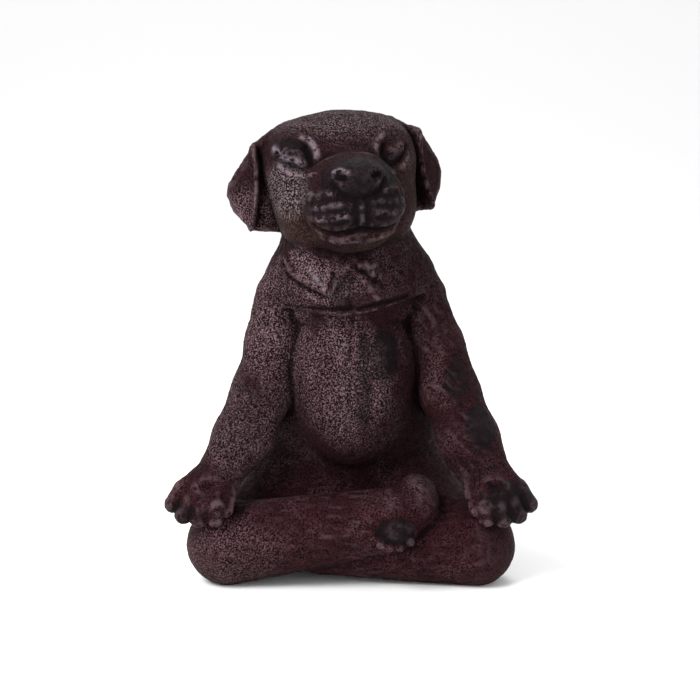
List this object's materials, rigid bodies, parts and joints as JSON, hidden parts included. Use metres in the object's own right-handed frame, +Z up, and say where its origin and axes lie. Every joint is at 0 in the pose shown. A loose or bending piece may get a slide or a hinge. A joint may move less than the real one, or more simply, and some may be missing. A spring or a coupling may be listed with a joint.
{
  "type": "dog figurine",
  "caption": "Cast resin figurine of a dog sitting cross-legged with closed eyes, straight arms and upturned paws on its knees.",
  "frame": {"origin": "on the surface that the figurine stands on, under the middle of its width and depth", "axes": "+Z up, the dog faces -Y, and +X is the viewer's right when the viewer looks at its face"},
  "size_m": [0.1177, 0.0807, 0.15],
  "materials": {
    "cast_resin": "matt dark brown cast resin with a reddish and purple-grey cast, a fine speckled grain, and near-black brushed paint on the nose, toes and one side of the belly"
  },
  "bodies": {
    "root": {"dog": "cast_resin"}
  },
  "joints": []
}
